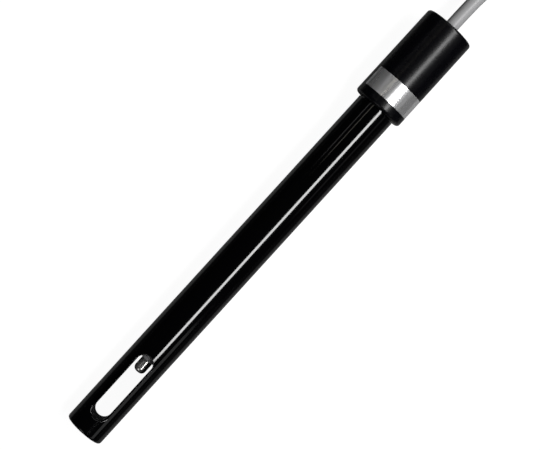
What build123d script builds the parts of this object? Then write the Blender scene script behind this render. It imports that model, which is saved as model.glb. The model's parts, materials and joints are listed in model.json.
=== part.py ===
from build123d import *
import os
from math import asin, atan2, cos, degrees, hypot, pi, radians, sin, sqrt, tan

os.makedirs("parts", exist_ok=True)

# Driving dimensions, in millimetres and degrees.

# Shaft: one moulding, with a slotted nose below the bore that holds the wires, and a spigot in the cap
shaft_d = 12.0
shaft_exposed = 122.4
spigot_d = 11.0
spigot_relief = 0.4
spigot_lead_in = 0.5
tip_round = 0.8
bore_d = 9.0
bore_above_slot = 5.5
slot_w = 5.0
slot_l = 23.0
slot_above_tip = 5.4
slot_rim_round = 0.3

# Measuring plates in the slot's side walls, and their wires
plate_l = 9.0
plate_w = 6.0
plate_t = 0.5
plate_corner = 0.6
plate_above_slot_end = 5.0
plate_lead_d = 0.6
plate_lead_overlap = 3.0

# Temperature finger in the slot's upper end
sheath_d = 3.6
sheath_wall = 0.3
sheath_reach = 5.9
sheath_above_slot = 14.0
sheath_dome = 1.4
sheath_inner_slant = 0.8
bead_d = 2.2
bead_l = 3.6
bead_taper = 0.5
bead_clear = 0.25
leg_d = 0.4
leg_spacing = 1.0
leg_seat = 1.5
leg_straight = 5.5
leg_spread_l = 10.0
finger_seal_d = 4.9
finger_seal_reach = 2.4
finger_seal_seat = 1.0
finger_seal_slant = 0.35

# Wiring inside the shaft
potting_l = 6.0
core_d = 1.2
core_ring_r = 0.88
core_straight = 6.0
splice_l = 8.0
splice_wall = 0.3
splice_neck_l = 0.8
plate_splice_above_floor = 19.0
bead_splice_above_floor = 31.0
bead_splice_r = 2.2

# Cap, its silver band and what holds the cable
cap_d = 15.75
cap_top_d = 15.6
cap_l = 30.6
cap_lip_round = 1.0
cap_top_round = 0.8
socket_depth = 14.0
chamber_d = 10.0
cap_roof = 3.6
cap_potting_in_shaft = 8.0
cap_potting_in_cap = 6.0
band_above_lip = 3.0
band_w = 6.4
band_t = 0.12
band_pocket = 0.16
band_start = 26.0
band_gap_angle = 52.0
band_margin = 0.05
seal_d = 4.5
seal_stand = 0.3
clamp_d = 6.4
clamp_l = 6.0
clamp_crimp_w = 1.2
clamp_crimp_depth = 0.35

# Cable, and the hank that its spare length is folded into
cable_d = 4.0
jacket_in_shaft = 10.0
loop_r = 16.0
loop_hole_r = 9.9
loop_spacing = 42.0
waist_w = 18.0
hank_rows = 3
hank_slack = 0.3
hank_gap = 14.2
hank_side = 10.1
hank_edge_slant = 1.2
strap_w = 6.0
strap_t = 0.95
strap_clear = 0.3
strap_corner = 3.0
strap_tail = 9.0
strap_tail_side = 2.5

# Round six-pin plug
grip_d = 12.0
grip_l = 18.0
grip_shoulder = 1.2
grip_groove_w = 1.4
grip_groove_depth = 0.45
grip_groove_pitch = 2.6
grip_groove_count = 4
grip_groove_start = 3.0
grip_mark_l = 3.0
grip_mark_w = 4.0
grip_mark_depth = 0.5
relief_l = 11.0
relief_d = 7.6
relief_end_d = 5.4
relief_groove_w = 1.1
relief_groove_depth = 0.6
relief_groove_pitch = 2.2
relief_groove_count = 4
relief_groove_start = 2.0
shell_d = 9.5
shell_wall = 0.6
shell_neck = 0.25
shell_neck_stand = 0.3
shell_stand = 8.0
shell_seat = 2.0
shell_notch_w = 1.6
shell_notch_l = 2.2
insert_l = 4.5
pin_d = 0.95
pin_stand = 5.4
pin_seat = 2.5
pin_rows = ((1.7, 2.7), (3.3, 0.0), (1.25, -2.9))
key_w = 2.2
key_h = 1.3
key_rise = 1.1
key_l = 5.0

# Clearances between pieces that are glued, potted or pushed together
glue_gap = 0.05
potting_gap = 0.02

# An arc takes this share of the shorter of the two runs that meet at a corner.
bend_share = 0.45

# Levels along the shaft, measured from the tip
shaft_r = shaft_d / 2
spigot_r = spigot_d / 2
shoulder = shaft_exposed - spigot_relief
slot_top = slot_above_tip + slot_l
slot_middle = slot_above_tip + slot_l / 2
bore_floor = slot_top + bore_above_slot
shaft_top = shaft_exposed + socket_depth
cap_top = shaft_exposed + cap_l
chamber_top = cap_top - cap_roof
root_bottom = shaft_top - jacket_in_shaft
seal_top = cap_top + seal_stand
sheath_tip = slot_top - sheath_reach
sheath_top = slot_top + sheath_above_slot
bead_bottom = sheath_tip + sheath_wall + bead_clear
bead_top = bead_bottom + bead_l
leg_bottom = bead_top - leg_seat
plate_middle = slot_above_tip + plate_above_slot_end + plate_l / 2
plate_lead_bottom = plate_middle + plate_l / 2 - plate_lead_overlap
plate_lead_x = slot_w / 2 + plate_t + plate_lead_d / 2
plate_splice_bottom = bore_floor + plate_splice_above_floor
bead_splice_bottom = bore_floor + bead_splice_above_floor
plate_splice_middle = plate_splice_bottom + splice_l / 2
bead_splice_middle = bead_splice_bottom + splice_l / 2
band_bottom = shaft_exposed + band_above_lip

# The probe lies on its tip's rounded edge and on the cap's rounded lip: the floor touches both circles.
tip_centre_r = shaft_r - tip_round
lip_centre_r = cap_d / 2 - cap_lip_round
span = shaft_exposed + cap_lip_round - tip_round
rise = lip_centre_r - tip_centre_r
tilt = atan2(rise, span) + asin((cap_lip_round - tip_round) / hypot(span, rise))
probe_low = tip_round * cos(tilt) - tip_centre_r * sin(tilt) - tip_round
probe_high = seal_top * cos(tilt) + seal_d / 2 * sin(tilt)
tip_x = -(probe_low + probe_high) / 2
tip_z = tip_round + tip_centre_r * cos(tilt) - tip_round * sin(tilt)

# PROBE looks up the shaft: its x runs across the slot, its y through it, its z from tip to cable.
PROBE = Plane(origin=(tip_x, 0, tip_z), x_dir=(0, 1, 0), z_dir=(cos(tilt), 0, sin(tilt)))
# LENGTHWISE holds the axis: its x runs across the slot and its y from tip to cable.
LENGTHWISE = Plane(origin=PROBE.origin, x_dir=PROBE.x_dir, z_dir=-PROBE.y_dir)
# EDGEWISE holds the axis too: its x runs through the slot.
EDGEWISE = Plane(origin=PROBE.origin, x_dir=PROBE.y_dir, z_dir=PROBE.x_dir)
probe_axis = Axis(PROBE.origin, PROBE.z_dir)
through_axis = Axis(PROBE.origin, PROBE.y_dir)


def on_probe(x, y, z):
    """A point given across the slot, through it and up from the tip, in the model's own frame."""
    return PROBE.from_local_coords(Vector(x, y, z))


def bend_radii(points):
    """The largest arcs that fit a route's corners, one for each corner."""
    radii = []
    for before, corner, after in zip(points, points[1:], points[2:]):
        run_in = corner - before
        run_out = after - corner
        half_turn = radians(run_in.get_angle(run_out) / 2)
        radii.append(bend_share * min(run_in.length, run_out.length) / tan(half_turn))
    return radii


def tell_route(name, radii, wire, solid, diameter):
    """Print a route's bend radii, and its solid's volume over section times length."""
    section = pi * diameter**2 / 4
    ratio = solid.volume / (section * wire.length)
    print(name, "radii", [round(radius, 1) for radius in radii], "volume ratio", round(ratio, 4))


def bead_half(grow):
    """Half of the bead's outline beside the probe's axis, grown all round."""
    side = bead_d / 2 + grow
    low = bead_bottom - grow
    high = bead_top + grow
    with BuildSketch(LENGTHWISE) as half:
        with BuildLine():
            Polyline(
                (0, low),
                (side - bead_taper, low),
                (side, low + bead_taper),
                (side, high - bead_taper),
                (side - bead_taper, high),
                (0, high),
                close=True,
            )
        make_face()
    return half.sketch


# Shaft body: turned outline with a rounded tip and a spigot for the cap, then the slot, the bore and the
# seats of what it holds
with BuildPart() as shaft_body:
    with BuildSketch(LENGTHWISE):
        with BuildLine():
            FilletPolyline((0, 0), (shaft_r, 0), (shaft_r, shoulder), radius=tip_round)
            Polyline(
                (shaft_r, shoulder),
                (spigot_r, shoulder),
                (spigot_r, shaft_top - spigot_lead_in),
                (spigot_r - spigot_lead_in, shaft_top),
                (0, shaft_top),
                (0, 0),
            )
        make_face()
    revolve(axis=probe_axis)
    with BuildSketch(LENGTHWISE):
        with Locations((0, slot_middle)):
            SlotOverall(slot_l, slot_w, rotation=90)
    extrude(amount=shaft_r, both=True, mode=Mode.SUBTRACT)
    slot_edges = edges().filter_by_position(probe_axis, slot_above_tip, slot_top)
    upper_rim = slot_edges.filter_by_position(through_axis, shaft_r / 2, shaft_r)
    lower_rim = slot_edges.filter_by_position(through_axis, -shaft_r, -shaft_r / 2)
    fillet(upper_rim + lower_rim, radius=slot_rim_round)
    with BuildSketch(PROBE.offset(bore_floor)):
        Circle(bore_d / 2)
    extrude(amount=shaft_top - bore_floor, mode=Mode.SUBTRACT)
    with BuildSketch(PROBE.offset(slot_top - slot_w / 2)):
        Circle(sheath_d / 2 + glue_gap)
    extrude(amount=bore_floor - slot_top + slot_w / 2, mode=Mode.SUBTRACT)
    with BuildSketch(PROBE.offset(slot_top - slot_w / 2)):
        Circle(finger_seal_d / 2)
    extrude(amount=slot_w / 2 + finger_seal_seat, mode=Mode.SUBTRACT)
    for side in (1, -1):
        with BuildSketch(EDGEWISE.offset(side * slot_w / 2)):
            with Locations((0, plate_middle)):
                RectangleRounded(plate_w + 2 * glue_gap, plate_l + 2 * glue_gap, plate_corner)
        extrude(amount=side * plate_t, mode=Mode.SUBTRACT)
    with BuildSketch(PROBE.offset(plate_lead_bottom)):
        with Locations((plate_lead_x, 0), (-plate_lead_x, 0)):
            Circle(plate_lead_d / 2 + glue_gap)
    extrude(amount=bore_floor - plate_lead_bottom, mode=Mode.SUBTRACT)
shaft_body.part.label = "shaft_body"
export_step(shaft_body.part, "parts/shaft_body.step")

# Measuring plates, flush in the slot's side walls, and the wires welded to their backs
for name, side in (("left", 1), ("right", -1)):
    with BuildPart() as electrode:
        with BuildSketch(EDGEWISE.offset(side * slot_w / 2)):
            with Locations((0, plate_middle)):
                RectangleRounded(plate_w, plate_l, plate_corner)
        extrude(amount=side * plate_t)
    electrode.part.label = f"electrode_{name}"
    export_step(electrode.part, f"parts/electrode_{name}.step")

    with BuildPart() as electrode_lead:
        with BuildSketch(PROBE.offset(plate_lead_bottom)):
            with Locations((side * plate_lead_x, 0)):
                Circle(plate_lead_d / 2)
        extrude(amount=plate_splice_middle - plate_lead_bottom)
    electrode_lead.part.label = f"electrode_lead_{name}"
    export_step(electrode_lead.part, f"parts/electrode_lead_{name}.step")

# Temperature finger: a steel tube with a domed end, its inner corner left at a slant
sheath_inner_r = sheath_d / 2 - sheath_wall
sheath_floor = sheath_tip + sheath_wall
with BuildPart() as sensor_sheath:
    with BuildSketch(LENGTHWISE):
        with BuildLine():
            FilletPolyline(
                (0, sheath_tip), (sheath_d / 2, sheath_tip), (sheath_d / 2, sheath_top), radius=sheath_dome
            )
            Line((sheath_d / 2, sheath_top), (sheath_inner_r, sheath_top))
            Polyline(
                (sheath_inner_r, sheath_top),
                (sheath_inner_r, sheath_floor + sheath_inner_slant),
                (sheath_inner_r - sheath_inner_slant, sheath_floor),
                (0, sheath_floor),
                (0, sheath_tip),
            )
        make_face()
    revolve(axis=probe_axis)
sensor_sheath.part.label = "sensor_sheath"
export_step(sensor_sheath.part, "parts/sensor_sheath.step")

# Collar that seals the finger's root in the slot's upper end
finger_seal_r = finger_seal_d / 2 - potting_gap
finger_seal_foot = slot_top - finger_seal_reach
with BuildPart() as finger_seal:
    with BuildSketch(LENGTHWISE):
        with BuildLine():
            Polyline(
                (sheath_d / 2 + potting_gap, finger_seal_foot),
                (finger_seal_r - finger_seal_slant, finger_seal_foot),
                (finger_seal_r, finger_seal_foot + finger_seal_slant),
                (finger_seal_r, slot_top + finger_seal_seat - potting_gap),
                (sheath_d / 2 + potting_gap, slot_top + finger_seal_seat - potting_gap),
                close=True,
            )
        make_face()
    revolve(axis=probe_axis)
finger_seal.part.label = "finger_seal"
export_step(finger_seal.part, "parts/finger_seal.step")

# Glass bead of the temperature element, tapered at both ends, with seats for its two legs
with BuildPart() as thermistor_bead:
    revolve(bead_half(0).faces(), axis=probe_axis)
    with BuildSketch(PROBE.offset(leg_bottom)):
        with Locations((0, leg_spacing / 2), (0, -leg_spacing / 2)):
            Circle(leg_d / 2 + potting_gap)
    extrude(amount=leg_seat, mode=Mode.SUBTRACT)
thermistor_bead.part.label = "thermistor_bead"
export_step(thermistor_bead.part, "parts/thermistor_bead.step")

# The element's legs run straight up the finger and then spread to their splices.
leg_bend = sheath_top + leg_straight
for name, side in (("front", -1), ("back", 1)):
    leg_points = [
        on_probe(0, side * leg_spacing / 2, leg_bottom),
        on_probe(0, side * leg_spacing / 2, leg_bend),
        on_probe(0, side * bead_splice_r, leg_bend + leg_spread_l),
        on_probe(0, side * bead_splice_r, bead_splice_middle),
    ]
    with BuildPart() as thermistor_leg:
        with BuildLine():
            FilletPolyline(*leg_points, radius=bend_radii(leg_points))
        with BuildSketch(PROBE.offset(leg_bottom)):
            with Locations((0, side * leg_spacing / 2)):
                Circle(leg_d / 2)
        sweep()
    thermistor_leg.part.label = f"thermistor_leg_{name}"
    export_step(thermistor_leg.part, f"parts/thermistor_leg_{name}.step")

# Filling that carries heat from the finger's wall to the bead
filling_r = sheath_inner_r - potting_gap
filling_floor = sheath_floor + potting_gap
with BuildPart() as sheath_filling:
    with BuildSketch(LENGTHWISE):
        with BuildLine():
            Polyline(
                (0, filling_floor),
                (filling_r - sheath_inner_slant, filling_floor),
                (filling_r, filling_floor + sheath_inner_slant),
                (filling_r, sheath_top),
                (0, sheath_top),
                close=True,
            )
        make_face()
    revolve(axis=probe_axis)
    revolve(bead_half(potting_gap).faces(), axis=probe_axis, mode=Mode.SUBTRACT)
    with BuildSketch(PROBE.offset(leg_bottom)):
        with Locations((0, leg_spacing / 2), (0, -leg_spacing / 2)):
            Circle(leg_d / 2 + potting_gap)
    extrude(amount=sheath_top - leg_bottom, mode=Mode.SUBTRACT)
sheath_filling.part.label = "sheath_filling"
export_step(sheath_filling.part, "parts/sheath_filling.step")

# Resin on the bore's floor, poured round the finger and the plates' wires
with BuildPart() as nose_potting:
    with BuildSketch(PROBE.offset(bore_floor)):
        Circle(bore_d / 2 - potting_gap)
        Circle(sheath_d / 2 + potting_gap, mode=Mode.SUBTRACT)
        with Locations((plate_lead_x, 0), (-plate_lead_x, 0)):
            Circle(plate_lead_d / 2 + potting_gap, mode=Mode.SUBTRACT)
    extrude(amount=potting_l)
nose_potting.part.label = "nose_potting"
export_step(nose_potting.part, "parts/nose_potting.step")

# Each of the four cores meets its wire end to end inside a shrink sleeve, then runs to the cable's jacket.
splices = (
    ("red", 1, 0, plate_lead_x, plate_splice_bottom, plate_lead_d),
    ("black", -1, 0, plate_lead_x, plate_splice_bottom, plate_lead_d),
    ("white", 0, 1, bead_splice_r, bead_splice_bottom, leg_d),
    ("green", 0, -1, bead_splice_r, bead_splice_bottom, leg_d),
)
for colour, across, through, radius, bottom, wire_d in splices:
    middle = bottom + splice_l / 2
    top = bottom + splice_l
    wire_r = wire_d / 2 + potting_gap
    core_r = core_d / 2 + potting_gap
    foot = on_probe(across * radius, through * radius, 0)
    with BuildPart() as splice_sleeve:
        with BuildSketch(Plane(origin=foot, x_dir=PROBE.x_dir, z_dir=LENGTHWISE.z_dir)):
            with BuildLine():
                Polyline(
                    (wire_r, bottom),
                    (wire_r + splice_wall, bottom),
                    (wire_r + splice_wall, middle - splice_neck_l),
                    (core_r + splice_wall, middle),
                    (core_r + splice_wall, top),
                    (core_r, top),
                    (core_r, middle),
                    (wire_r, middle),
                    close=True,
                )
            make_face()
        revolve(axis=Axis(foot, PROBE.z_dir))
    splice_sleeve.part.label = f"splice_sleeve_{colour}"
    export_step(splice_sleeve.part, f"parts/splice_sleeve_{colour}.step")

    core_points = [
        on_probe(across * radius, through * radius, middle),
        on_probe(across * radius, through * radius, top + core_straight / 2),
        on_probe(across * core_ring_r, through * core_ring_r, root_bottom - core_straight),
        on_probe(across * core_ring_r, through * core_ring_r, root_bottom),
    ]
    with BuildPart() as core_wire:
        with BuildLine():
            FilletPolyline(*core_points, radius=bend_radii(core_points))
        with BuildSketch(PROBE.offset(middle)):
            with Locations((across * radius, through * radius)):
                Circle(core_d / 2)
        sweep()
    core_wire.part.label = f"core_wire_{colour}"
    export_step(core_wire.part, f"parts/core_wire_{colour}.step")

# The cable's end inside the probe
cable_r = cable_d / 2
with BuildPart() as cable_root:
    with BuildSketch(PROBE.offset(root_bottom)):
        Circle(cable_r)
    extrude(amount=seal_top - root_bottom)
cable_root.part.label = "cable_root"
export_step(cable_root.part, "parts/cable_root.step")

# Ferrule crimped on the cable, stopped by the cap's roof
clamp_bottom = chamber_top - clamp_l
with BuildPart() as cord_clamp:
    with BuildSketch(LENGTHWISE):
        with Locations((cable_r + potting_gap, clamp_bottom)):
            Rectangle(clamp_d / 2 - cable_r - potting_gap, clamp_l, align=Align.MIN)
        for crimp in (1, 2):
            with Locations((clamp_d / 2, clamp_bottom + crimp * clamp_l / 3)):
                Rectangle(2 * clamp_crimp_depth, clamp_crimp_w, mode=Mode.SUBTRACT)
    revolve(axis=probe_axis)
cord_clamp.part.label = "cord_clamp"
export_step(cord_clamp.part, "parts/cord_clamp.step")

# Resin round the cable, in the shaft's mouth and in the cap's chamber
with BuildPart() as cap_potting:
    with BuildSketch(LENGTHWISE):
        with BuildLine():
            Polyline(
                (cable_r + potting_gap, shaft_top - cap_potting_in_shaft),
                (bore_d / 2 - potting_gap, shaft_top - cap_potting_in_shaft),
                (bore_d / 2 - potting_gap, shaft_top),
                (chamber_d / 2 - potting_gap, shaft_top),
                (chamber_d / 2 - potting_gap, shaft_top + cap_potting_in_cap),
                (cable_r + potting_gap, shaft_top + cap_potting_in_cap),
                close=True,
            )
        make_face()
    revolve(axis=probe_axis)
cap_potting.part.label = "cap_potting"
export_step(cap_potting.part, "parts/cap_potting.step")

# Cap: socket for the shaft, chamber for the clamp, and a shallow seat for the band, which stops short of a
# full turn
cap_r = cap_d / 2
socket_r = spigot_r + glue_gap
seal_hole_r = seal_d / 2 + potting_gap
band_seat_r = cap_r - band_pocket
band_arc = 360 - band_gap_angle
band_start_dir = PROBE.x_dir * cos(radians(band_start)) + PROBE.y_dir * sin(radians(band_start))
margin_angle = degrees(band_margin / cap_r)
seat_start = radians(band_start - margin_angle)
seat_start_dir = PROBE.x_dir * cos(seat_start) + PROBE.y_dir * sin(seat_start)
with BuildPart() as cap:
    with BuildSketch(LENGTHWISE):
        with BuildLine():
            FilletPolyline(
                (socket_r, shaft_exposed),
                (cap_r, shaft_exposed),
                (cap_top_d / 2, cap_top),
                (seal_hole_r, cap_top),
                radius=(cap_lip_round, cap_top_round),
            )
            Polyline(
                (seal_hole_r, cap_top),
                (seal_hole_r, chamber_top),
                (chamber_d / 2, chamber_top),
                (chamber_d / 2, shaft_top),
                (socket_r, shaft_top),
                (socket_r, shaft_exposed),
            )
        make_face()
    revolve(axis=probe_axis)
    with BuildSketch(Plane(PROBE.origin, seat_start_dir, seat_start_dir.cross(PROBE.z_dir))):
        with Locations((band_seat_r, band_bottom - band_margin)):
            Rectangle(2 * band_pocket, band_w + 2 * band_margin, align=Align.MIN)
    revolve(axis=probe_axis, revolution_arc=band_arc + 2 * margin_angle, mode=Mode.SUBTRACT)
cap.part.label = "cap"
export_step(cap.part, "parts/cap.step")

# Silver foil band, with a gap on one side
with BuildPart() as silver_band:
    with BuildSketch(Plane(PROBE.origin, band_start_dir, band_start_dir.cross(PROBE.z_dir))):
        with Locations((band_seat_r, band_bottom)):
            Rectangle(band_t, band_w, align=Align.MIN)
    revolve(axis=probe_axis, revolution_arc=band_arc)
silver_band.part.label = "silver_band"
export_step(silver_band.part, "parts/silver_band.step")

# Collar that seals the cable in the cap's roof
with BuildPart() as cable_seal:
    with BuildSketch(PROBE.offset(chamber_top)):
        Circle(seal_d / 2)
        Circle(cable_r + potting_gap, mode=Mode.SUBTRACT)
    extrude(amount=seal_top - chamber_top)
cable_seal.part.label = "cable_seal"
export_step(cable_seal.part, "parts/cable_seal.step")

# Hank: the cable's spare length in flat folds, one closed solid. Seen from above it is two round loops
# with a tied waist between them, whose sides are arcs that run into the loops.
cable_exit = on_probe(0, 0, seal_top)
hank_r = loop_r + cable_r + hank_slack
hank_h = hank_rows * cable_d + 2 * hank_slack
half_spacing = loop_spacing / 2
half_waist = waist_w / 2
waist_r = (half_spacing**2 + half_waist**2 - hank_r**2) / (2 * (hank_r - half_waist))
waist_centre_y = half_waist + waist_r
lean = atan2(half_spacing, waist_centre_y)
meet_x = half_spacing - hank_r * sin(lean)
meet_y = hank_r * cos(lean)
hank_x = cable_exit.X + hank_gap + hank_r + half_spacing
HANK = Plane(origin=(hank_x, hank_side, 0))

# The strap passes round the waist, which is widest at the strap's own edges, and under it along the floor.
strap_inner_w = 2 * (waist_centre_y - sqrt(waist_r**2 - (strap_w / 2) ** 2) + strap_clear)
strap_inner_h = hank_h + strap_clear - strap_t
strap_inner_corner = strap_corner - strap_t
strap_top = strap_inner_h + 2 * strap_t
channel_w = strap_w + 2 * strap_clear
CHANNEL = Plane(origin=(hank_x - channel_w / 2, hank_side, 0), x_dir=(0, 1, 0), z_dir=(1, 0, 0))
STRAP = CHANNEL.offset(strap_clear)

with BuildPart() as cable_hank:
    with BuildSketch(HANK):
        with BuildLine():
            ThreePointArc((meet_x, meet_y), (half_spacing + hank_r, 0), (meet_x, -meet_y))
            ThreePointArc((meet_x, -meet_y), (0, -half_waist), (-meet_x, -meet_y))
            ThreePointArc((-meet_x, -meet_y), (-half_spacing - hank_r, 0), (-meet_x, meet_y))
            ThreePointArc((-meet_x, meet_y), (0, half_waist), (meet_x, meet_y))
        make_face()
        with Locations((half_spacing, 0), (-half_spacing, 0)):
            Circle(loop_hole_r, mode=Mode.SUBTRACT)
    extrude(amount=hank_h)
    chamfer(
        [edge for face in faces().filter_by(Axis.Z) for edge in face.outer_wire().edges()],
        length=hank_edge_slant,
    )
    with BuildSketch(CHANNEL):
        Rectangle(4 * waist_w, 4 * hank_h)
        with Locations((0, strap_t + strap_clear / 2)):
            RectangleRounded(
                strap_inner_w - strap_clear,
                strap_inner_h - strap_clear / 2,
                strap_inner_corner,
                align=(Align.CENTER, Align.MIN),
                mode=Mode.SUBTRACT,
            )
    extrude(amount=channel_w, mode=Mode.SUBTRACT)
cable_hank.part.label = "cable_hank"
export_step(cable_hank.part, "parts/cable_hank.step")

# Strap round the hank's waist, its tail pressed down on top
with BuildPart() as hank_tie:
    with BuildSketch(STRAP):
        RectangleRounded(
            strap_inner_w + 2 * strap_t, strap_top, strap_corner, align=(Align.CENTER, Align.MIN)
        )
        with Locations((0, strap_t)):
            RectangleRounded(
                strap_inner_w,
                strap_inner_h,
                strap_inner_corner,
                align=(Align.CENTER, Align.MIN),
                mode=Mode.SUBTRACT,
            )
        with Locations((strap_tail_side, strap_top)):
            Rectangle(strap_tail, strap_t, align=(Align.CENTER, Align.MIN))
    extrude(amount=strap_w)
hank_tie.part.label = "hank_tie"
export_step(hank_tie.part, "parts/hank_tie.step")

# Cable from the probe to the hank, where it joins the top row. The points are chosen by hand, as offsets
# from the cable's exit; the first run goes straight on out of the probe.
lead_points = [
    cable_exit,
    on_probe(0, 0, seal_top + 7.4),
    cable_exit + Vector(14.8, -0.5, 0.9),
    cable_exit + Vector(22.2, -3.5, 1.67),
    cable_exit + Vector(29.5, -5.8, 1.67),
]
with BuildPart() as cable_lead:
    with BuildLine() as lead_route:
        FilletPolyline(*lead_points, radius=bend_radii(lead_points))
    with BuildSketch(PROBE.offset(seal_top)):
        Circle(cable_r)
    sweep()
    tell_route("cable_lead", bend_radii(lead_points), lead_route.wire(), cable_lead.part, cable_d)
    add(cable_hank.part, mode=Mode.SUBTRACT)
cable_lead.part.label = "cable_lead"
export_step(cable_lead.part, "parts/cable_lead.step")

# Cable from the hank's second row to the plug. The points are chosen by hand, as offsets from the
# hank's middle.
grip_r = grip_d / 2
hank_middle = Vector(hank_x, hank_side, grip_r)
tail_points = [
    hank_middle + Vector(15.6, -16.0, 0),
    hank_middle + Vector(25.6, -16.0, 0),
    hank_middle + Vector(34.9, -12.2, 0),
    hank_middle + Vector(44.8, -12.2, 0),
]
tail_end = tail_points[-1]
with BuildPart() as cable_tail:
    with BuildLine() as tail_route:
        FilletPolyline(*tail_points, radius=bend_radii(tail_points))
    with BuildSketch(Plane(origin=tail_points[0], z_dir=(1, 0, 0))):
        Circle(cable_r)
    sweep()
    tell_route("cable_tail", bend_radii(tail_points), tail_route.wire(), cable_tail.part, cable_d)
    split(bisect_by=Plane.YZ.offset(hank_x + half_spacing), keep=Keep.TOP)
    add(cable_hank.part, mode=Mode.SUBTRACT)
cable_tail.part.label = "cable_tail"
export_step(cable_tail.part, "parts/cable_tail.step")

# Plug, lying on its grip. PLUG holds its axis, with y towards the pins; PLUG_BACK is the grip's back face.
plug_back = tail_end + Vector(relief_l, 0, 0)
PLUG = Plane(origin=plug_back, x_dir=(0, 1, 0), z_dir=(0, 0, -1))
PLUG_BACK = Plane(origin=plug_back, x_dir=(0, 1, 0), z_dir=(1, 0, 0))
plug_axis = Axis(plug_back, (1, 0, 0))
shell_r = shell_d / 2
shell_seat_r = shell_r - shell_neck + potting_gap
shell_bottom = grip_l - shell_seat
insert_front = shell_bottom + insert_l

# The cable's end inside the strain relief
with BuildPart() as cable_end:
    with BuildSketch(PLUG_BACK.offset(-relief_l)):
        Circle(cable_r)
    extrude(amount=relief_l)
cable_end.part.label = "cable_end"
export_step(cable_end.part, "parts/cable_end.step")

# Strain relief: a tapered sleeve with grooves that let it bend
with BuildPart() as plug_relief:
    with BuildSketch(PLUG):
        with BuildLine():
            Polyline(
                (cable_r + potting_gap, -relief_l),
                (relief_end_d / 2, -relief_l),
                (relief_d / 2, 0),
                (cable_r + potting_gap, 0),
                close=True,
            )
        make_face()
        for groove in range(relief_groove_count):
            from_mouth = relief_groove_start + groove * relief_groove_pitch
            outer_r = (relief_end_d + (relief_d - relief_end_d) * from_mouth / relief_l) / 2
            with Locations((outer_r, from_mouth - relief_l)):
                Rectangle(2 * relief_groove_depth, relief_groove_w, mode=Mode.SUBTRACT)
    revolve(axis=plug_axis)
plug_relief.part.label = "plug_relief"
export_step(plug_relief.part, "parts/plug_relief.step")

# Grip: moulded, with finger grooves and a recessed mark that shows which way up the key is
with BuildPart() as plug_grip:
    with BuildSketch(PLUG):
        with BuildLine():
            Polyline(
                (0, 0),
                (grip_r - grip_shoulder, 0),
                (grip_r, grip_shoulder),
                (grip_r, grip_l - grip_shoulder),
                (grip_r - grip_shoulder / 2, grip_l),
                (shell_seat_r, grip_l),
                (shell_seat_r, shell_bottom),
                (0, shell_bottom),
                close=True,
            )
        make_face()
        for groove in range(grip_groove_count):
            with Locations((grip_r, grip_groove_start + groove * grip_groove_pitch)):
                Rectangle(2 * grip_groove_depth, grip_groove_w, mode=Mode.SUBTRACT)
    revolve(axis=plug_axis)
    with BuildSketch(Plane(origin=plug_back + Vector(grip_l - grip_shoulder - grip_mark_l, 0, grip_r))):
        RectangleRounded(grip_mark_l, grip_mark_w, grip_mark_l / 4)
    extrude(amount=-grip_mark_depth, mode=Mode.SUBTRACT)
plug_grip.part.label = "plug_grip"
export_step(plug_grip.part, "parts/plug_grip.step")

# Drawn steel shell round the pins, necked where the grip holds it and notched at its mouth
with BuildPart() as plug_shell:
    with BuildSketch(PLUG):
        with BuildLine():
            Polyline(
                (shell_r - shell_wall, shell_bottom),
                (shell_r - shell_neck, shell_bottom),
                (shell_r - shell_neck, grip_l + shell_neck_stand),
                (shell_r, grip_l + shell_neck_stand),
                (shell_r, grip_l + shell_stand),
                (shell_r - shell_wall, grip_l + shell_stand),
                close=True,
            )
        make_face()
    revolve(axis=plug_axis)
    with BuildSketch(PLUG_BACK.offset(grip_l + shell_stand - shell_notch_l)):
        with Locations((0, shell_r)):
            Rectangle(shell_notch_w, 4 * shell_wall)
    extrude(amount=shell_notch_l, mode=Mode.SUBTRACT)
plug_shell.part.label = "plug_shell"
export_step(plug_shell.part, "parts/plug_shell.step")

# Insulating insert with its key, and the six pins in two mirrored columns
pin_places = [(side * across, up) for across, up in pin_rows for side in (1, -1)]
with BuildPart() as plug_insert:
    with BuildSketch(PLUG_BACK.offset(shell_bottom)):
        Circle(shell_r - shell_wall - potting_gap)
    extrude(amount=insert_l)
    with BuildSketch(PLUG_BACK.offset(insert_front)):
        with Locations((0, key_rise)):
            RectangleRounded(key_w, key_h, key_h / 5)
    extrude(amount=key_l)
    with BuildSketch(PLUG_BACK.offset(insert_front)):
        with Locations(*pin_places):
            Circle(pin_d / 2 + potting_gap)
    extrude(amount=-pin_seat, mode=Mode.SUBTRACT)
plug_insert.part.label = "plug_insert"
export_step(plug_insert.part, "parts/plug_insert.step")

with BuildPart() as plug_pins:
    with BuildSketch(PLUG_BACK.offset(insert_front - pin_seat)):
        with Locations(*pin_places):
            Circle(pin_d / 2)
    extrude(amount=pin_seat + pin_stand)
    chamfer(faces().sort_by(Axis.X)[-len(pin_places) :].edges(), length=pin_d / 4)
plug_pins.part.label = "plug_pins"
export_step(plug_pins.part, "parts/plug_pins.step")
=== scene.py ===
"""Dress a laboratory conductivity sensor: gloss shaft, satin cap with a foil band, and grey cable."""

import json
import logging
import math
from dataclasses import dataclass, field
from enum import Enum

import bpy
from mathutils import Matrix, Vector

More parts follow.
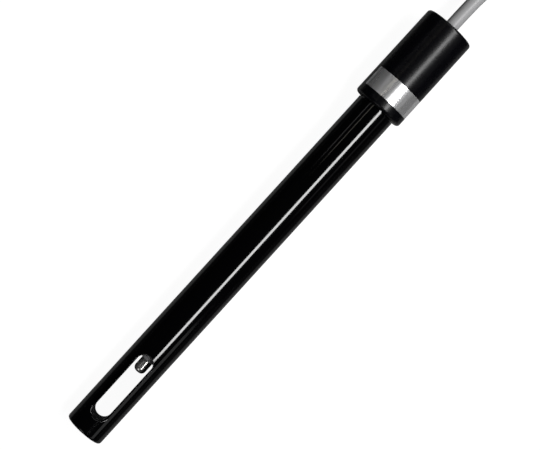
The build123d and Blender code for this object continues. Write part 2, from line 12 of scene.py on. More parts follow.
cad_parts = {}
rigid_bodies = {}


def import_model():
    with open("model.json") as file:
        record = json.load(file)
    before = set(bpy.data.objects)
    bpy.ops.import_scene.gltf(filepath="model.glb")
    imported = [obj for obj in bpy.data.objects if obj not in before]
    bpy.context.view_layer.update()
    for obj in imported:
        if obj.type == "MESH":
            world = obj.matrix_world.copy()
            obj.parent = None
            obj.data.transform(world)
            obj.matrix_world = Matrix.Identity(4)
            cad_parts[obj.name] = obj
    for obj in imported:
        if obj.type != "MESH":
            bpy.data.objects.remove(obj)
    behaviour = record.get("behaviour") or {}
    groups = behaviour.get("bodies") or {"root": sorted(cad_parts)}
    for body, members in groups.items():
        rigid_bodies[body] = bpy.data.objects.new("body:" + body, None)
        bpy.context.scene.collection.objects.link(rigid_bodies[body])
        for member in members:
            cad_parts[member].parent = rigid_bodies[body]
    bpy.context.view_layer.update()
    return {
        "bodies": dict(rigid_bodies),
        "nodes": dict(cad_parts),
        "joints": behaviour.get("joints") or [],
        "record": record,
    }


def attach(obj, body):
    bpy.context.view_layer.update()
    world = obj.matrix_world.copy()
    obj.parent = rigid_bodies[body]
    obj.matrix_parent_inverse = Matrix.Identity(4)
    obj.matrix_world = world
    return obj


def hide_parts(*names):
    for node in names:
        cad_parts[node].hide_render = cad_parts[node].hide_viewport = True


LOG = logging.getLogger("conductivity_sensor")
MM = 0.001

Colour = tuple[float, float, float]
Point = tuple[float, float, float]
Span = tuple[float, float]

UNIT: Span = (0.0, 1.0)
NOISE_SPAN: Span = (0.3, 0.7)
EVEN: Point = (1.0, 1.0, 1.0)
PLAIN_WHITE: Colour = (1.0, 1.0, 1.0)
WARM_WHITE: Colour = (1.0, 0.95, 0.82)


# --------------------------------------------------------------------------- nodes


def joined(
    tree: bpy.types.NodeTree, operation: str, *values: bpy.types.NodeSocket | float
) -> bpy.types.NodeSocket:
    """Join values in one Math node.

    Args:
        tree: the node tree to add to.
        operation: the Math node's operation.
        values: sockets, which are linked, or numbers, which are set.

    Returns:
        The result's socket.
    """
    node = tree.nodes.new("ShaderNodeMath")
    node.operation = operation
    for socket, value in zip(node.inputs, values):
        if isinstance(value, bpy.types.NodeSocket):
            tree.links.new(value, socket)
        else:
            socket.default_value = value
    return node.outputs["Value"]


def sent_on(tree: bpy.types.NodeTree, path: bpy.types.Node) -> bpy.types.NodeSocket:
    """1 for a ray that gloss, metal or a clear piece sends on, and 0 for all others."""
    return joined(tree, "MAXIMUM", path.outputs["Is Glossy Ray"], path.outputs["Is Transmission Ray"])


# --------------------------------------------------------------------------- finishes


class Pattern(Enum):
    """How a finish's fine relief is laid on the piece."""

    GRAIN = "grain"
    DRAWN = "drawn"
    CREASED = "creased"


class Board:
    """One material's node tree, with a call for each kind of node that the finishes use."""

    def __init__(self, name: str) -> None:
        """Start a material that holds only a shader, its output and the piece's own coordinates."""
        self.material = bpy.data.materials.new(name)
        self.material.use_nodes = True
        self.nodes = self.material.node_tree.nodes
        self.links = self.material.node_tree.links
        self.nodes.clear()
        self.shader = self.nodes.new("ShaderNodeBsdfPrincipled")
        output = self.nodes.new("ShaderNodeOutputMaterial")
        self.links.new(self.shader.outputs["BSDF"], output.inputs["Surface"])
        self.coordinates = self.nodes.new("ShaderNodeTexCoord")

    def mapped(self, stretch: Point, turn: float = 0.0) -> bpy.types.NodeSocket:
        """Object coordinates, scaled on each axis.

        Args:
            stretch: the scale on x, y and z.
            turn: a turn about y, in radians.

        Returns:
            The socket of the mapped coordinates.
        """
        mapping = self.nodes.new("ShaderNodeMapping")
        mapping.inputs["Scale"].default_value = stretch
        mapping.inputs["Rotation"].default_value = (0.0, turn, 0.0)
        self.links.new(self.coordinates.outputs["Object"], mapping.inputs["Vector"])
        return mapping.outputs["Vector"]

    def noise(
        self, size: float, stretch: Point = EVEN, detail: float = 3.0, turn: float = 0.0
    ) -> bpy.types.NodeSocket:
        """Noise whose patches are about as large as size.

        Args:
            size: the size of a patch, in metres.
            stretch: the scale on x, y and z. A small one draws the patches out along that axis.
            detail: how many finer layers lie on it.
            turn: a turn about y, in radians.

        Returns:
            The noise's socket.
        """
        node = self.nodes.new("ShaderNodeTexNoise")
        node.inputs["Scale"].default_value = 1.0 / size
        node.inputs["Detail"].default_value = detail
        self.links.new(self.mapped(stretch, turn), node.inputs["Vector"])
        return node.outputs["Fac"]

    def fit(self, source: bpy.types.NodeSocket, span: Span, result: Span) -> bpy.types.NodeSocket:
        """Map a value's span to another, held at its ends."""
        node = self.nodes.new("ShaderNodeMapRange")
        node.inputs["From Min"].default_value, node.inputs["From Max"].default_value = span
        node.inputs["To Min"].default_value, node.inputs["To Max"].default_value = result
        self.links.new(source, node.inputs["Value"])
        return node.outputs["Result"]

    def tint(self, factor: bpy.types.NodeSocket, low: Colour, high: Colour) -> bpy.types.NodeSocket:
        """A colour between low and high."""
        node = self.nodes.new("ShaderNodeMix")
        node.data_type = "RGBA"
        node.inputs["A"].default_value = (*low, 1.0)
        node.inputs["B"].default_value = (*high, 1.0)
        self.links.new(factor, node.inputs["Factor"])
        return node.outputs["Result"]

    def relief(
        self, height: bpy.types.NodeSocket, depth: float, under: bpy.types.NodeSocket | None = None
    ) -> bpy.types.NodeSocket:
        """A bump of the given depth in metres, on top of another."""
        node = self.nodes.new("ShaderNodeBump")
        node.inputs["Distance"].default_value = depth
        self.links.new(height, node.inputs["Height"])
        if under is not None:
            self.links.new(under, node.inputs["Normal"])
        return node.outputs["Normal"]

    def wire(self, socket: str, source: bpy.types.NodeSocket) -> None:
        """Lead a value to one of the shader's sockets."""
        self.links.new(source, self.shader.inputs[socket])


@dataclass(frozen=True)
class Finish:
    """A finish whose colour and gloss drift over the piece, above a fine relief.

    Sizes and depths are in metres. Colours are linear.
    """

    slot: str
    colour: Colour
    roughness: float
    metallic: float = 0.0
    ior: float = 1.5
    pattern: Pattern = Pattern.GRAIN
    drift: float = 0.12
    drift_size: float = 6 * MM
    gloss_drift: float = 0.04
    grain_size: float = 0.25 * MM
    grain_depth: float = 0.004 * MM
    transmission: float = 0.0
    coat: float = 0.0
    sheen: float = 0.0
    smear_share: float = 0.4
    smoothest: float = 0.02

    def coordinates_stretch(self) -> Point:
        """The relief's stretch: drawn and creased finishes run along the probe."""
        stretches = {Pattern.DRAWN: (0.04, 1.0, 1.0), Pattern.CREASED: (0.12, 1.0, 1.0)}
        return stretches.get(self.pattern, EVEN)

    def height(self, board: Board) -> bpy.types.NodeSocket:
        """The relief's height: noise in the finish's pattern."""
        return board.noise(self.grain_size, self.coordinates_stretch())

    def material(self) -> bpy.types.Material:
        """Build the finish's material.

        Returns:
            The material, ready for a piece's slot.
        """
        board = Board(self.slot)
        drift = board.fit(board.noise(self.drift_size), NOISE_SPAN, UNIT)
        low = tuple(channel * (1.0 - self.drift) for channel in self.colour)
        high = tuple(min(1.0, channel * (1.0 + self.drift)) for channel in self.colour)
        board.wire("Base Color", board.tint(drift, low, high))
        smears = board.noise(self.drift_size * self.smear_share, self.coordinates_stretch())
        rough = (max(self.smoothest, self.roughness - self.gloss_drift), self.roughness + self.gloss_drift)
        board.wire("Roughness", board.fit(smears, NOISE_SPAN, rough))
        board.wire("Normal", board.relief(self.height(board), self.grain_depth))
        board.shader.inputs["Metallic"].default_value = self.metallic
        board.shader.inputs["IOR"].default_value = self.ior
        board.shader.inputs["Transmission Weight"].default_value = self.transmission
        board.shader.inputs["Coat Weight"].default_value = self.coat
        board.shader.inputs["Sheen Weight"].default_value = self.sheen
        self.detail(board)
        return board.material

    def detail(self, board: Board) -> None:
        """Add what only this finish has. The plain one adds nothing."""


@dataclass(frozen=True)
class GlossMoulding(Finish):
    """Polished moulding: nearly flat, with faint long waves and hair-thin wiping marks."""

    wave_size: float = 9 * MM
    wave_depth: float = 0.006 * MM
    wave_stretch: Point = (0.35, 1.0, 1.0)
    mark_size: float = 0.5 * MM
    mark_stretch: Point = (0.06, 1.0, 1.0)
    mark_detail: float = 2.0
    mark_turn: float = 0.2
    mark_span: Span = (0.62, 0.78)
    mark_lift: float = 0.10
    patch_growth: float = 3.0
    patch_span: Span = (0.45, 0.65)
    smear_lift: float = 0.03

    def detail(self, board: Board) -> None:
        """Lay long waves under the grain, and roughen the gloss where it was wiped."""
        waves = board.relief(board.noise(self.wave_size, self.wave_stretch), self.wave_depth)
        board.wire("Normal", board.relief(self.height(board), self.grain_depth, waves))
        scratches = board.noise(self.mark_size, self.mark_stretch, self.mark_detail, self.mark_turn)
        marks = board.fit(scratches, self.mark_span, UNIT)
        wiped = board.noise(self.drift_size * self.patch_growth)
        patches = board.fit(wiped, self.patch_span, (0.0, self.mark_lift))
        tree = board.material.node_tree
        worn = joined(tree, "MULTIPLY", marks, patches)
        rough = (self.roughness, self.roughness + self.smear_lift)
        smears = board.fit(board.noise(self.drift_size), NOISE_SPAN, rough)
        board.wire("Roughness", joined(tree, "ADD", worn, smears))


@dataclass(frozen=True)
class CreasedFoil(Finish):
    """Bright foil pressed round a cap: long creases along the probe over a fine crackle."""

    crease_size: float = 2.2 * MM
    crease_depth: float = 0.10 * MM
    crease_detail: float = 1.0

    def detail(self, board: Board) -> None:
        """Lay the long creases under the fine relief."""
        folds = board.noise(self.crease_size, self.coordinates_stretch(), self.crease_detail)
        creases = board.relief(folds, self.crease_depth)
        board.wire("Normal", board.relief(self.height(board), self.grain_depth, creases))


@dataclass(frozen=True)
class Webbing(Finish):
    """Loop tape: ribs across the strap with a fibrous nap."""

    rib: float = 0.55 * MM
    rib_depth: float = 0.08 * MM
    rib_waves: float = 3.14
    rib_distortion: float = 1.5
    rib_detail: float = 2.0

    def detail(self, board: Board) -> None:
        """Lay woven ribs that run along the strap's length."""
        ribs = board.nodes.new("ShaderNodeTexWave")
        ribs.bands_direction = "X"
        ribs.inputs["Scale"].default_value = 1.0 / self.rib / self.rib_waves
        ribs.inputs["Distortion"].default_value = self.rib_distortion
        ribs.inputs["Detail"].default_value = self.rib_detail
        board.links.new(board.mapped(EVEN), ribs.inputs["Vector"])
        woven = board.relief(ribs.outputs["Fac"], self.rib_depth)
        board.wire("Normal", board.relief(self.height(board), self.grain_depth, woven))


SHAFT_BLACK = GlossMoulding(
    "shaft_black", (0.0006, 0.0006, 0.0008), 0.07, ior=1.5, grain_depth=0.0004 * MM
)
CAP_BLACK = Finish(
    "cap_black", (0.0010, 0.0010, 0.0018), 0.275, ior=1.33, gloss_drift=0.015, grain_size=0.18 * MM
)
FOIL_SILVER = CreasedFoil(
    "foil_silver",
    (0.86, 0.86, 0.87),
    0.27,
    metallic=0.84,
    drift=0.03,
    gloss_drift=0.06,
    pattern=Pattern.CREASED,
)
FINGER_STEEL = Finish(
    "finger_steel", (0.62, 0.61, 0.60), 0.22, metallic=0.88, pattern=Pattern.DRAWN, grain_depth=0.0002 * MM
)
PLATE_METAL = Finish(
    "plate_metal", (0.10, 0.10, 0.10), 0.55, metallic=0.6, drift=0.2, grain_depth=0.008 * MM
)
LEAD_METAL = Finish("lead_metal", (0.68, 0.67, 0.64), 0.3, metallic=1.0, pattern=Pattern.DRAWN)
BEAD_GLASS = Finish(
    "bead_glass", (0.85, 0.80, 0.62), 0.08, ior=1.52, transmission=0.6, grain_depth=0.001 * MM
)
FILLING_WHITE = Finish("filling_white", (0.72, 0.71, 0.68), 0.6, drift=0.06)
RESIN_DARK = Finish("resin_dark", (0.012, 0.011, 0.010), 0.18, coat=0.4, drift_size=3 * MM)
SLEEVE_BLACK = Finish("sleeve_black", (0.012, 0.012, 0.012), 0.45)
CORE_RED = Finish("core_red", (0.42, 0.015, 0.012), 0.38)
CORE_BLACK = Finish("core_black", (0.010, 0.010, 0.010), 0.38)
CORE_WHITE = Finish("core_white", (0.70, 0.70, 0.68), 0.38)
CORE_GREEN = Finish("core_green", (0.015, 0.19, 0.05), 0.38)
CABLE_GREY = Finish(
    "cable_grey", (0.345, 0.345, 0.35), 0.42, drift=0.035, drift_size=14 * MM, grain_size=0.3 * MM
)
CLAMP_METAL = Finish("clamp_metal", (0.55, 0.55, 0.54), 0.32, metallic=1.0)
SEAL_GREY = Finish("seal_grey", (0.26, 0.26, 0.27), 0.55, grain_size=0.2 * MM)
SEAL_BLACK = Finish("seal_black", (0.006, 0.006, 0.007), 0.5, grain_depth=0.006 * MM)
STRAP_BLACK = Webbing(
    "strap_black", (0.010, 0.010, 0.011), 0.85, sheen=0.3, grain_size=0.12 * MM, grain_depth=0.05 * MM
)
PLUG_BLACK = Finish(
    "plug_black", (0.008, 0.008, 0.009), 0.38, grain_size=0.35 * MM, grain_depth=0.008 * MM
)
RELIEF_BLACK = Finish("relief_black", (0.010, 0.010, 0.011), 0.55, grain_size=0.3 * MM)
SHELL_NICKEL = Finish(
    "shell_nickel", (0.66, 0.64, 0.60), 0.2, metallic=1.0, pattern=Pattern.DRAWN, grain_depth=0.001 * MM
)
INSERT_BLACK = Finish("insert_black", (0.012, 0.012, 0.012), 0.5)
PIN_GOLD = Finish("pin_gold", (0.78, 0.53, 0.20), 0.18, metallic=1.0, grain_depth=0.001 * MM)


def dress(piece: bpy.types.Object, finish: Finish) -> None:
    """Give a piece one finish all over, and name its slot.

    Args:
        piece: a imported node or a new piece.
        finish: what it gets.
    """
    known = bpy.data.materials.get(finish.slot)
    material = known if known and known.get("finished") else finish.material()
    material["finished"] = True
    piece.data.materials.clear()
    piece.data.materials.append(material)


def dress_all(nodes: dict[str, bpy.types.Object], finishes: dict[str, Finish]) -> None:
    """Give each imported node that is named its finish."""
    for node, finish in finishes.items():
        dress(nodes[node], finish)


# --------------------------------------------------------------------------- the probe


@dataclass
class Probe:
    """The dip probe: shaft, cap and all that they hold, whose solids get their finishes.

    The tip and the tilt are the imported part's, in metres and radians.
    """

    tip: Point = (-76.6184 * MM, 0.0, 5.9872 * MM)
    tilt: float = 0.0152926
    seal_top: float = 153.3 * MM
    finishes: dict[str, Finish] = field(
        default_factory=lambda: {
            "shaft_body": SHAFT_BLACK,
            "cap": CAP_BLACK,
            "silver_band": FOIL_SILVER,
            "cable_seal": SEAL_BLACK,
            "sensor_sheath": FINGER_STEEL,
            "finger_seal": SEAL_GREY,
            "sheath_filling": FILLING_WHITE,
            "electrode_left": PLATE_METAL,
            "electrode_right": PLATE_METAL,
            "electrode_lead_left": LEAD_METAL,
            "electrode_lead_right": LEAD_METAL,
            "thermistor_bead": BEAD_GLASS,
            "thermistor_leg_front": LEAD_METAL,
            "thermistor_leg_back": LEAD_METAL,
            "nose_potting": RESIN_DARK,
            "cap_potting": RESIN_DARK,
            "splice_sleeve_red": SLEEVE_BLACK,
            "splice_sleeve_black": SLEEVE_BLACK,
            "splice_sleeve_white": SLEEVE_BLACK,
            "splice_sleeve_green": SLEEVE_BLACK,
            "core_wire_red": CORE_RED,
            "core_wire_black": CORE_BLACK,
            "core_wire_white": CORE_WHITE,
            "core_wire_green": CORE_GREEN,
            "cable_root": CABLE_GREY,
            "cord_clamp": CLAMP_METAL,
        }
    )

    def up(self, level: float) -> Vector:
        """A point on the probe's axis, level metres from the tip towards the cable."""
        return Vector(self.tip) + level * Vector((math.cos(self.tilt), 0.0, math.sin(self.tilt)))

    def dress(self, nodes: dict[str, bpy.types.Object]) -> None:
        """Finish each solid of the probe."""
        dress_all(nodes, self.finishes)


@dataclass
class FingerCollar:
    """The soft collar round the finger's root, of which the camera sees a crescent in the slot's end.

    Radii, and levels above the tip, are in metres.
    """

    outer: float = 2.43 * MM
    inner: float = 1.82 * MM
    foot: float = 26.8 * MM
    top: float = 29.38 * MM
    slant: float = 0.35 * MM
    facets: int = 64
    softening: float = 0.08 * MM
    softening_steps: int = 3
    merge: float = 0.001 * MM

    def ring(self, radius_share: float, rise: float) -> None:
        """Extrude the open ring to a new radius and height, as one step round the profile.

        Args:
            radius_share: the new radius as a share of the present one.
            rise: how far the ring moves towards the cap.
        """
        bpy.ops.mesh.extrude_region_move(TRANSFORM_OT_translate={"value": (0.0, 0.0, rise)})
        bpy.ops.transform.resize(value=(radius_share, radius_share, 1.0))

    def build(self, probe: Probe) -> bpy.types.Object:
        """Turn the collar's profile round the finger and seat it in the slot's end.

        Args:
            probe: where the slot and the finger lie.

        Returns:
            The collar.
        """
        bpy.ops.object.select_all(action="DESELECT")
        bpy.ops.mesh.primitive_circle_add(vertices=self.facets, radius=self.inner, fill_type="NOTHING")
        collar = bpy.context.object
        collar.name = "finger_collar"
        height = self.top - self.foot
        narrow = self.outer - self.slant
        bpy.ops.object.mode_set(mode="EDIT")
        bpy.ops.mesh.select_all(action="SELECT")
        self.ring(narrow / self.inner, 0.0)
        self.ring(self.outer / narrow, self.slant)
        self.ring(1.0, height - self.slant)
        self.ring(self.inner / self.outer, 0.0)
        self.ring(1.0, -height)
        bpy.ops.mesh.select_all(action="SELECT")
        bpy.ops.mesh.remove_doubles(threshold=self.merge)
        bpy.ops.mesh.normals_make_consistent(inside=False)
        bpy.ops.object.mode_set(mode="OBJECT")
        bpy.ops.object.modifier_add(type="BEVEL")
        soft = collar.modifiers[-1]
        soft.width, soft.segments = self.softening, self.softening_steps
        soft.limit_method = "ANGLE"
        bpy.ops.object.modifier_apply(modifier=soft.name)
        bpy.ops.object.shade_smooth()
        collar.location = probe.up(self.foot)
        collar.rotation_euler = (0.0, math.pi / 2 - probe.tilt, 0.0)
        bpy.ops.object.transform_apply(location=True, rotation=True, scale=True)
        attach(collar, "root")
        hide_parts("finger_seal")
        dress(collar, SEAL_GREY)
        return collar


# --------------------------------------------------------------------------- the cable


class Column(Enum):
    """The two columns of cable in the hank, by their place between inner (0) and outer (1)."""

    INNER = 0.0
    OUTER = 1.0


def eased(share: float) -> float:
    """A share from 0 to 1 that starts and ends gently."""
    return share * share * (3.0 - 2.0 * share)


@dataclass
class Cable:
    """The cable from the probe's seal to the plug, in one smooth line, its spare length folded in a hank.

    Seen from above the hank is two loops with a narrow waist, which the strap holds. Each turn keeps to
    one place in a stack of two columns and three rows, and moves to the next place in the far loop.
    The lead's points count from the exit and the tail's from the hank's middle. They and the hank's
    sizes are in millimetres, and moves are in steps of a turn.
    """

    exit: Vector
    diameter: float = 4 * MM
    length: float = 1.0
    smoothness: int = 8
    roundness: int = 5
    thickness_from_points: float = 1.0
    straight: float = 7.4 * MM
    lead: tuple[Point, ...] = ((14.8, -0.5, 0.9), (22.2, -3.5, 1.67), (29.5, -5.8, 1.67))
    middle: Point = (130.1636, 10.1, 6.0)
    tail: tuple[Point, ...] = ((25.6, -16.0, 0.0), (34.9, -12.2, 0.0), (44.8, -12.2, 0.0))
    half_spacing: float = 21.0
    inner_loop: float = 12.0
    inner_waist: float = 3.0
    rows: tuple[float, ...] = (2.0, 6.0, 10.0)
    points_per_loop: int = 6
    move_start: float = 2.4
    move_step: float = 0.9
    move_span: float = 2.8
    strap_lift: float = 1.05
    strap_reach: float = 14.0
    places: tuple[tuple[Column, int], ...] = (
        (Column.OUTER, 2),
        (Column.INNER, 2),
        (Column.INNER, 1),
        (Column.INNER, 0),
        (Column.OUTER, 0),
        (Column.OUTER, 1),
    )

    def turn_point(self, step: int, column: float) -> tuple[float, float]:
        """One point of a turn, in millimetres from the hank's middle.

        Args:
            step: 0 to 15, from the near waist round the far loop and back round the other.
            column: 0 for the inner column, 1 for the outer, or between them.

        Returns:
            The point's x and y.
        """
        width = self.diameter / MM
        loop = self.inner_loop + width * column
        waist = self.inner_waist + width * column
        neck = (self.half_spacing**2 + waist**2 - loop**2) / (2 * (loop - waist))
        lean = math.atan2(self.half_spacing, waist + neck)
        share = (math.pi + 2 * lean) / self.points_per_loop
        reach = loop / math.cos(share / 2)
        beside = neck * math.tan(lean / 2)
        side, order = divmod(step, self.points_per_loop + 2)
        sign = 1 if side == 0 else -1
        if order == 0:
            return sign * beside, -sign * waist
        if order == self.points_per_loop + 1:
            return sign * beside, sign * waist
        angle = side * math.pi - math.pi / 2 - lean + (order - 0.5) * share
        return sign * self.half_spacing + reach * math.cos(angle), reach * math.sin(angle)

    def hank_point(self, step: int, column: float, row: float) -> Vector:
        """A point of the hank in the row frame, raised over the strap at the waist."""
        x, y = self.turn_point(step, column)
        over_strap = self.strap_lift * max(0.0, 1.0 - (x / self.strap_reach) ** 2) ** 2
        middle = Vector(self.middle)
        return Vector((middle.x + x, middle.y + y, row + over_strap)) * MM

    def hank_points(self) -> list[Vector]:
        """All points of the hank: the join, five turns that move from place to place, and the leave."""
        around = 2 * (self.points_per_loop + 2)
        first, last = self.places[0], self.places[-1]
        joining, leaving = (around - 2, around - 1), (0, 1)
        points = [self.hank_point(step, first[0].value, self.rows[first[1]]) for step in joining]
        turns = len(self.places) - 1
        for turn in range(turns):
            (column, row), (next_column, next_row) = self.places[turn], self.places[turn + 1]
            begin = self.move_start + (turns - 1 - turn) * self.move_step
            for step in range(around):
                share = eased(min(1.0, max(0.0, (step - begin) / self.move_span)))
                column_now = column.value + (next_column.value - column.value) * share
                row_now = self.rows[row] + (self.rows[next_row] - self.rows[row]) * share
                points.append(self.hank_point(step, column_now, row_now))
        points += [self.hank_point(step, last[0].value, self.rows[last[1]]) for step in leaving]
        return points

    def route(self, probe: Probe) -> list[Vector]:
        """Every control point from the seal to the strain relief's mouth."""
        points = [self.exit, probe.up(probe.seal_top + self.straight)]
        points += [self.exit + Vector(offset) * MM for offset in self.lead]
        points += self.hank_points()
        points += [(Vector(self.middle) + Vector(offset)) * MM for offset in self.tail]
        return points

    def build(self, probe: Probe) -> bpy.types.Object:
        """Args:
            probe: where the cable comes from.

        Returns:
            The curve object.
        """
        points = self.route(probe)
        line = bpy.data.curves.new("cable", "CURVE")
        line.dimensions = "3D"
        line.bevel_depth = self.thickness_from_points
        line.bevel_resolution = self.roundness
        line.resolution_u = self.smoothness
        line.use_fill_caps = True
        spline = line.splines.new("NURBS")
        spline.points.add(len(points) - 1)
        for control, point in zip(spline.points, points):
            control.co = (*point, 1.0)
            control.radius = self.diameter / 2
        spline.order_u = 3
        spline.use_endpoint_u = True
        cable = bpy.data.objects.new("cable", line)
        bpy.context.scene.collection.objects.link(cable)
        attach(cable, "root")
        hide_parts("cable_lead", "cable_hank", "cable_tail")
        dress(cable, CABLE_GREY)
        return cable


@dataclass
class Plug:
    """The round six-pin plug on the cable's end, and the strap round the hank."""

    finishes: dict[str, Finish] = field(
        default_factory=lambda: {
            "cable_lead": CABLE_GREY,
            "cable_hank": CABLE_GREY,
            "cable_tail": CABLE_GREY,
            "cable_end": CABLE_GREY,
            "hank_tie": STRAP_BLACK,
            "plug_relief": RELIEF_BLACK,
            "plug_grip": PLUG_BLACK,
            "plug_shell": SHELL_NICKEL,
            "plug_insert": INSERT_BLACK,
            "plug_pins": PIN_GOLD,
        }
    )

    def dress(self, nodes: dict[str, bpy.types.Object]) -> None:
        """Finish each solid of the cable, the plug and the strap."""
        dress_all(nodes, self.finishes)


# --------------------------------------------------------------------------- the studio


@dataclass(frozen=True)
class SoftBox:
    """A rectangular lamp that looks at a point. Sizes are in metres, brightness is its radiance."""

    name: str
    place: Point
    aim: Point
    long_side: float
    short_side: float
    brightness: float
    warm: bool = False
    turn: float = 0.0
    endwise: float = 0.9

    def build(self) -> None:
        """Hang the lamp, its long side along the probe unless it hangs endwise, then turn it in its plane."""
        lamp = bpy.data.lights.new(self.name, "AREA")
        lamp.shape = "RECTANGLE"
        lamp.size, lamp.size_y = self.long_side, self.short_side
        lamp.energy = self.brightness * math.pi * self.long_side * self.short_side
        lamp.color = WARM_WHITE if self.warm else PLAIN_WHITE
        holder = bpy.data.objects.new(self.name, lamp)
        bpy.context.scene.collection.objects.link(holder)
        back = (Vector(self.place) - Vector(self.aim)).normalized()
        across = Vector((1.0, 0.0, 0.0)) if abs(back.x) < self.endwise else Vector((0.0, 1.0, 0.0))
        side = (across - across.dot(back) * back).normalized()
        frame = Matrix((side, back.cross(side), back)).transposed().to_4x4()
        holder.matrix_world = Matrix.Translation(self.place) @ frame @ Matrix.Rotation(self.turn, 4, "Z")


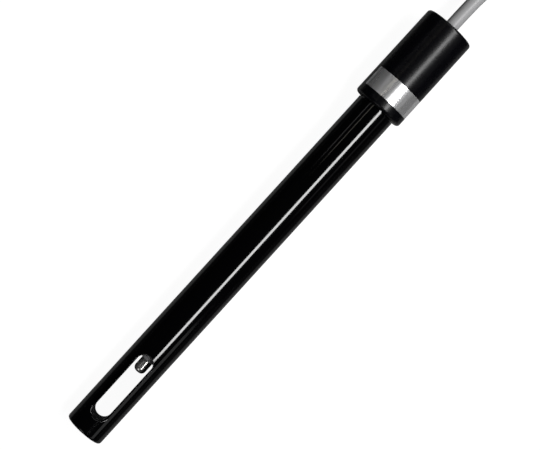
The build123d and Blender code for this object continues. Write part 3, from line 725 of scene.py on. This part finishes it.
@dataclass
class Studio:
    """Floor, lamps, surroundings and camera of the photograph, in metres."""

    floor_half: float = 6.0
    floor_corners: int = 96
    floor_shade: float = 0.13
    floor_shade_near: float = 0.21
    floor_shade_far: float = 0.012
    near_middle: float = 1 * MM
    near_half: float = 27 * MM
    near_edge: float = 4 * MM
    floor_roughness: float = 0.9
    floor_specular: float = 0.1
    floor_glow: float = 0.95
    floor_glow_mirrored: float = 0.006
    dim: float = 0.008
    horizon: float = 0.0
    camera_over: Point = (1.5 * MM, 0.1 * MM, 0.527)
    camera_roll: float = math.radians(-47.67)
    camera_clip: Span = (0.01, 50.0)
    lens: float = 123.3
    boxes: tuple[SoftBox, ...] = (
        SoftBox("key_strip", (0.235, -0.264, 0.542), (0.235, 0.0, 0.008), 0.73, 0.125, 16.5, turn=0.13),
        SoftBox("tip_end_fill", (-0.85, 0.1, 0.55), (0.0, 0.0, 0.0), 0.5, 0.4, 1.2),
        SoftBox("cable_end_fill", (0.85, 0.1, 0.55), (0.0, 0.0, 0.0), 0.5, 0.4, 1.2),
        SoftBox("side_strip_tip", (-0.3, -0.556, 0.235), (-0.3, 0.0, 0.006), 0.42, 0.16, 0.55),
        SoftBox("side_strip_cap", (0.255, -0.55, 0.245), (0.255, 0.0, 0.008), 0.5, 0.07, 0.2),
        SoftBox("bar_high", (0.29, 0.25, 0.55), (0.29, 0.0, 0.008), 0.5, 0.022, 2.0, warm=True),
        SoftBox("bar_low", (0.29, 0.435, 0.44), (0.29, 0.0, 0.008), 0.5, 0.022, 1.4),
    )

    def floor_shading(self, board: Board) -> bpy.types.NodeSocket:
        """The floor's shade: even, but in the gloss of the probe only the sheet close to it is pale.

        Args:
            board: the floor's material.

        Returns:
            The shade's socket.
        """
        tree = board.material.node_tree
        split = board.nodes.new("ShaderNodeSeparateXYZ")
        board.links.new(board.coordinates.outputs["Object"], split.inputs["Vector"])
        beside = joined(tree, "SUBTRACT", split.outputs["Y"], self.near_middle)
        distance = joined(tree, "ABSOLUTE", beside)
        edge = (self.near_half - self.near_edge, self.near_half + self.near_edge)
        mirrored = board.fit(distance, edge, (self.floor_shade_near, self.floor_shade_far))
        path = board.nodes.new("ShaderNodeLightPath")
        shade = board.nodes.new("ShaderNodeMix")
        shade.inputs["A"].default_value = self.floor_shade
        board.links.new(path.outputs["Is Glossy Ray"], shade.inputs["Factor"])
        board.links.new(mirrored, shade.inputs["B"])
        return shade.outputs["Result"]

    def floor_glowing(self, board: Board) -> bpy.types.NodeSocket:
        """The floor's glow: strong for the camera, and faint where gloss or a clear piece sends rays on.

        Args:
            board: the floor's material.

        Returns:
            The glow's socket.
        """
        tree = board.material.node_tree
        path = board.nodes.new("ShaderNodeLightPath")
        faint = joined(tree, "MULTIPLY", sent_on(tree, path), self.floor_glow_mirrored)
        return joined(tree, "MULTIPLY_ADD", path.outputs["Is Camera Ray"], self.floor_glow, faint)

    def floor(self) -> None:
        """Lay a pale floor that looks white to the camera and still holds the shadow."""
        bpy.ops.object.select_all(action="DESELECT")
        bpy.ops.mesh.primitive_circle_add(
            vertices=self.floor_corners, radius=self.floor_half, fill_type="NGON"
        )
        floor = bpy.context.object
        floor.name = "floor"
        board = Board("floor_pale")
        board.wire("Base Color", self.floor_shading(board))
        board.wire("Emission Strength", self.floor_glowing(board))
        board.shader.inputs["Emission Color"].default_value = (*PLAIN_WHITE, 1.0)
        board.shader.inputs["Roughness"].default_value = self.floor_roughness
        board.shader.inputs["Specular IOR Level"].default_value = self.floor_specular
        floor.data.materials.append(board.material)

    def surroundings(self) -> None:
        """A dim room that is white for the camera, and below the horizon for metal and glass too."""
        world = bpy.data.worlds.new("studio")
        bpy.context.scene.world = world
        world.use_nodes = True
        tree = world.node_tree
        tree.nodes.clear()
        output = tree.nodes.new("ShaderNodeOutputWorld")
        mix = tree.nodes.new("ShaderNodeMixShader")
        dark = tree.nodes.new("ShaderNodeBackground")
        dark.inputs["Strength"].default_value = self.dim
        white = tree.nodes.new("ShaderNodeBackground")
        coordinates = tree.nodes.new("ShaderNodeTexCoord")
        split = tree.nodes.new("ShaderNodeSeparateXYZ")
        tree.links.new(coordinates.outputs["Generated"], split.inputs["Vector"])
        low = joined(tree, "LESS_THAN", split.outputs["Z"], self.horizon)
        path = tree.nodes.new("ShaderNodeLightPath")
        mirrored = joined(tree, "MULTIPLY", sent_on(tree, path), low)
        share = joined(tree, "MAXIMUM", path.outputs["Is Camera Ray"], mirrored)
        tree.links.new(share, mix.inputs["Fac"])
        tree.links.new(dark.outputs["Background"], mix.inputs[1])
        tree.links.new(white.outputs["Background"], mix.inputs[2])
        tree.links.new(mix.outputs["Shader"], output.inputs["Surface"])

    def camera(self) -> None:
        """Hang the camera straight over the probe, rolled as the photograph is."""
        eye = bpy.data.cameras.new("camera")
        eye.lens = self.lens
        eye.clip_start, eye.clip_end = self.camera_clip
        holder = bpy.data.objects.new("camera", eye)
        bpy.context.scene.collection.objects.link(holder)
        holder.location = self.camera_over
        holder.rotation_euler = (0.0, 0.0, self.camera_roll)
        bpy.context.scene.camera = holder

    def build(self) -> None:
        """Set up the whole studio."""
        bpy.context.scene.view_settings.view_transform = "Standard"
        self.camera()
        self.floor()
        self.surroundings()
        for box in self.boxes:
            box.build()


def main() -> None:
    """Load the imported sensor, dress it, lay its cable and light it."""
    logging.basicConfig(level=logging.INFO, format="%(name)s: %(message)s")
    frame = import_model()
    Studio().build()
    probe = Probe()
    probe.dress(frame["nodes"])
    FingerCollar().build(probe)
    LOG.info("probe: %d solids dressed", len(probe.finishes))
    Plug().dress(frame["nodes"])
    cable = Cable(exit=probe.up(probe.seal_top))
    cable.build(probe)
    LOG.info("cable: %d points", len(cable.route(probe)))
    bpy.context.view_layer.update()


if __name__ == "__main__":
    main()
